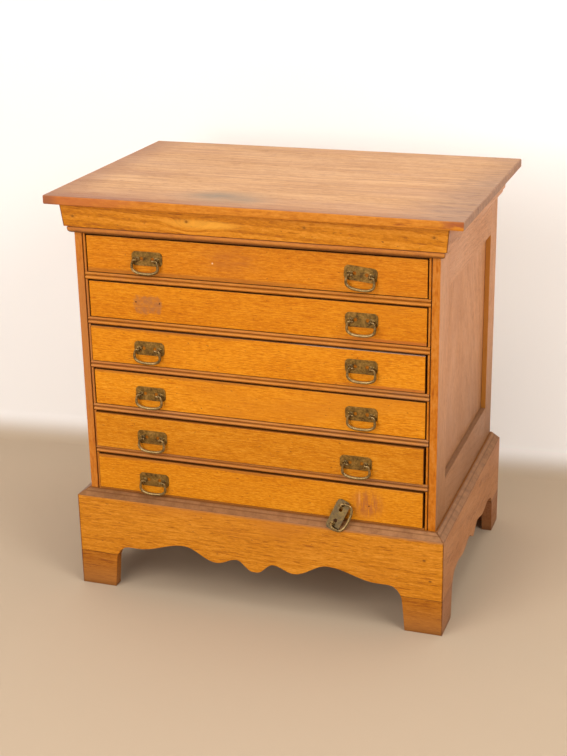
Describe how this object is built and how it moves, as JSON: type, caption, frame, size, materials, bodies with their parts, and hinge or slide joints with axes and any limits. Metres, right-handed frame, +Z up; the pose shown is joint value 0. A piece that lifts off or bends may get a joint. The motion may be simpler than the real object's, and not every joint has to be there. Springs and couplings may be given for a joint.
{
  "type": "spool cabinet",
  "caption": "Oak spool cabinet with shallow sliding drawers, brass bail handles, panelled sides, a flared cornice and a scalloped plinth.",
  "frame": {"origin": "middle of the footprint, on the floor", "axes": "+X to the right seen from the front, +Y to the back, +Z up; drawers slide out along -Y"},
  "size_m": [0.66, 0.448, 0.6676],
  "materials": {
    "top_oak": "worn waxed oak, water stained",
    "front_oak": "honey-orange varnished oak",
    "case_oak": "brown varnished oak",
    "inside_wood": "bare pale wood",
    "aged_brass": "dull olive aged brass",
    "bail_brass": "aged brass, rubbed bright"
  },
  "bodies": {
    "cabinet": {"top_board": "top_oak", "cornice_front": "front_oak", "cornice_left": "case_oak", "cornice_right": "case_oak", "front_stile_left": "front_oak", "front_stile_right": "front_oak", "back_stile_left": "case_oak", "back_stile_right": "case_oak", "side_top_rail_left": "case_oak", "side_top_rail_right": "case_oak", "side_bottom_rail_left": "case_oak", "side_bottom_rail_right": "case_oak", "side_panel_left": "case_oak", "side_panel_right": "case_oak", "top_rail": "front_oak", "back_panel": "inside_wood", "bottom_board": "inside_wood", "drawer_divider_1": "front_oak", "drawer_divider_2": "front_oak", "drawer_divider_3": "front_oak", "drawer_divider_4": "front_oak", "drawer_divider_5": "front_oak", "plinth_front": "front_oak", "plinth_left": "case_oak", "plinth_right": "case_oak", "plinth_back": "case_oak"},
    "drawer_1": {"drawer_front_1": "front_oak", "drawer_tray_1": "inside_wood", "handle_plate_left_1": "aged_brass", "handle_plate_right_1": "aged_brass"},
    "drawer_2": {"drawer_front_2": "front_oak", "drawer_tray_2": "inside_wood", "handle_plate_right_2": "aged_brass"},
    "drawer_3": {"drawer_front_3": "front_oak", "drawer_tray_3": "inside_wood", "handle_plate_left_3": "aged_brass", "handle_plate_right_3": "aged_brass"},
    "drawer_4": {"drawer_front_4": "front_oak", "drawer_tray_4": "inside_wood", "handle_plate_left_4": "aged_brass", "handle_plate_right_4": "aged_brass"},
    "drawer_5": {"drawer_front_5": "front_oak", "drawer_tray_5": "inside_wood", "handle_plate_left_5": "aged_brass", "handle_plate_right_5": "aged_brass"},
    "drawer_6": {"drawer_front_6": "front_oak", "drawer_tray_6": "inside_wood", "handle_plate_left_6": "aged_brass", "handle_plate_right_6": "aged_brass"},
    "bail_left_1": {"bail_left_1": "bail_brass"},
    "bail_left_3": {"bail_left_3": "bail_brass"},
    "bail_left_4": {"bail_left_4": "bail_brass"},
    "bail_left_5": {"bail_left_5": "bail_brass"},
    "bail_left_6": {"bail_left_6": "bail_brass"},
    "bail_right_1": {"bail_right_1": "bail_brass"},
    "bail_right_2": {"bail_right_2": "bail_brass"},
    "bail_right_3": {"bail_right_3": "bail_brass"},
    "bail_right_4": {"bail_right_4": "bail_brass"},
    "bail_right_5": {"bail_right_5": "bail_brass"},
    "bail_right_6": {"bail_right_6": "bail_brass"}
  },
  "joints": [
    {"name": "drawer_1_slide", "type": "slide", "parent": "cabinet", "child": "drawer_1", "axis": [0, -1, 0], "range_m": [0, 0.3]},
    {"name": "drawer_2_slide", "type": "slide", "parent": "cabinet", "child": "drawer_2", "axis": [0, -1, 0], "range_m": [0, 0.3]},
    {"name": "drawer_3_slide", "type": "slide", "parent": "cabinet", "child": "drawer_3", "axis": [0, -1, 0], "range_m": [-0.0015, 0.3]},
    {"name": "drawer_4_slide", "type": "slide", "parent": "cabinet", "child": "drawer_4", "axis": [0, -1, 0], "range_m": [0, 0.3]},
    {"name": "drawer_5_slide", "type": "slide", "parent": "cabinet", "child": "drawer_5", "axis": [0, -1, 0], "range_m": [-0.0045, 0.3]},
    {"name": "drawer_6_slide", "type": "slide", "parent": "cabinet", "child": "drawer_6", "axis": [0, -1, 0], "range_m": [0, 0.3]},
    {"name": "bail_left_1_swing", "type": "hinge", "parent": "drawer_1", "child": "bail_left_1", "pos_m": [-0.1705, -0.2043, 0.56908], "axis": [-1, 0, 0], "range_deg": [-12, 192]},
    {"name": "bail_left_3_swing", "type": "hinge", "parent": "drawer_3", "child": "bail_left_3", "pos_m": [-0.1735, -0.2058, 0.42292], "axis": [-1, 0, 0], "range_deg": [-12, 192]},
    {"name": "bail_left_4_swing", "type": "hinge", "parent": "drawer_4", "child": "bail_left_4", "pos_m": [-0.1755, -0.2048, 0.34608], "axis": [-1, 0, 0], "range_deg": [-12, 192]},
    {"name": "bail_left_5_swing", "type": "hinge", "parent": "drawer_5", "child": "bail_left_5", "pos_m": [-0.175, -0.2088, 0.27225], "axis": [-1, 0, 0], "range_deg": [-12, 192]},
    {"name": "bail_left_6_swing", "type": "hinge", "parent": "drawer_6", "child": "bail_left_6", "pos_m": [-0.176, -0.2073, 0.19692], "axis": [-1, 0, 0], "range_deg": [-12, 192]},
    {"name": "bail_right_1_swing", "type": "hinge", "parent": "drawer_1", "child": "bail_right_1", "pos_m": [0.17196, -0.2043, 0.57109], "axis": [-0.9954, 0, 0.0958], "range_deg": [-12, 192]},
    {"name": "bail_right_2_swing", "type": "hinge", "parent": "drawer_2", "child": "bail_right_2", "pos_m": [0.1735, -0.2043, 0.50025], "axis": [-1, 0, 0], "range_deg": [-12, 192]},
    {"name": "bail_right_3_swing", "type": "hinge", "parent": "drawer_3", "child": "bail_right_3", "pos_m": [0.1735, -0.2058, 0.42692], "axis": [-1, 0, 0], "range_deg": [-12, 192]},
    {"name": "bail_right_4_swing", "type": "hinge", "parent": "drawer_4", "child": "bail_right_4", "pos_m": [0.1735, -0.2048, 0.35008], "axis": [-1, 0, 0], "range_deg": [-12, 192]},
    {"name": "bail_right_5_swing", "type": "hinge", "parent": "drawer_5", "child": "bail_right_5", "pos_m": [0.166, -0.2088, 0.27025], "axis": [-1, 0, 0], "range_deg": [-12, 192]},
    {"name": "bail_right_6_swing", "type": "hinge", "parent": "drawer_6", "child": "bail_right_6", "pos_m": [0.13762, -0.21538, 0.1851], "axis": [-0.3746, -0.3067, -0.875], "range_deg": [0, 180]}
  ]
}
